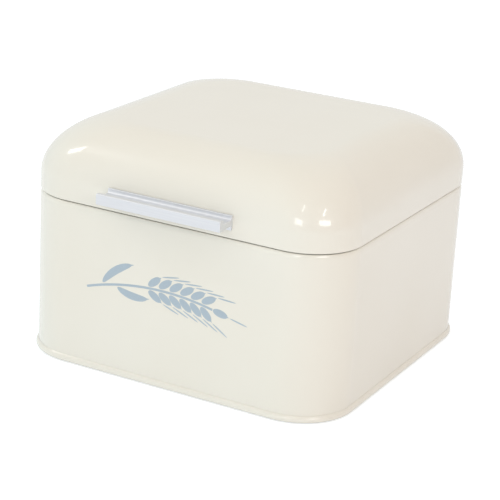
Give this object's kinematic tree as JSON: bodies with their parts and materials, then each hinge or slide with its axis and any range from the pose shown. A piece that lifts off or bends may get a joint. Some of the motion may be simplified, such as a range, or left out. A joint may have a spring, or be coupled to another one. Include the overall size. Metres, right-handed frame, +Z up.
{
  "type": "bread box with hinged lid",
  "caption": "Rounded square steel bread box with a crowned lid hinged at the rear, a bar handle on the lid's front and rubber foot pads.",
  "frame": {"origin": "under the middle of the whole object on the bench plane, midway between the front of the handle and the back of the hinges", "axes": "+X to the right seen from the front, +Y from front to back, +Z up"},
  "size_m": [0.2536, 0.2698, 0.1719],
  "materials": {
    "cream_enamel": "gloss",
    "satin_aluminium": "satin",
    "plated_steel": "satin",
    "silicone": "satin",
    "foot_rubber": "matte",
    "printed_ink": "satin"
  },
  "bodies": {
    "box": {"body_wall": "cream_enamel", "base_panel": "cream_enamel", "left_body_leaf": "plated_steel", "right_body_leaf": "plated_steel", "left_hinge_pin": "plated_steel", "right_hinge_pin": "plated_steel", "left_body_rivets": "plated_steel", "right_body_rivets": "plated_steel", "left_body_backplate": "plated_steel", "right_body_backplate": "plated_steel", "left_rim_bumper": "silicone", "right_rim_bumper": "silicone", "front_left_foot": "foot_rubber", "front_right_foot": "foot_rubber", "rear_left_foot": "foot_rubber", "rear_right_foot": "foot_rubber"},
    "lid": {"lid_shell": "cream_enamel", "handle_bar": "satin_aluminium", "handle_screws": "plated_steel", "handle_washers": "plated_steel", "left_lid_leaf": "plated_steel", "right_lid_leaf": "plated_steel", "left_lid_rivets": "plated_steel", "right_lid_rivets": "plated_steel", "left_lid_backplate": "plated_steel", "right_lid_backplate": "plated_steel"}
  },
  "joints": [
    {"name": "lid_hinge", "type": "hinge", "parent": "box", "child": "lid", "pos_m": [0, 0.12958, 0.1204], "axis": [-1, 0, 0], "range_deg": [0, 100]}
  ]
}
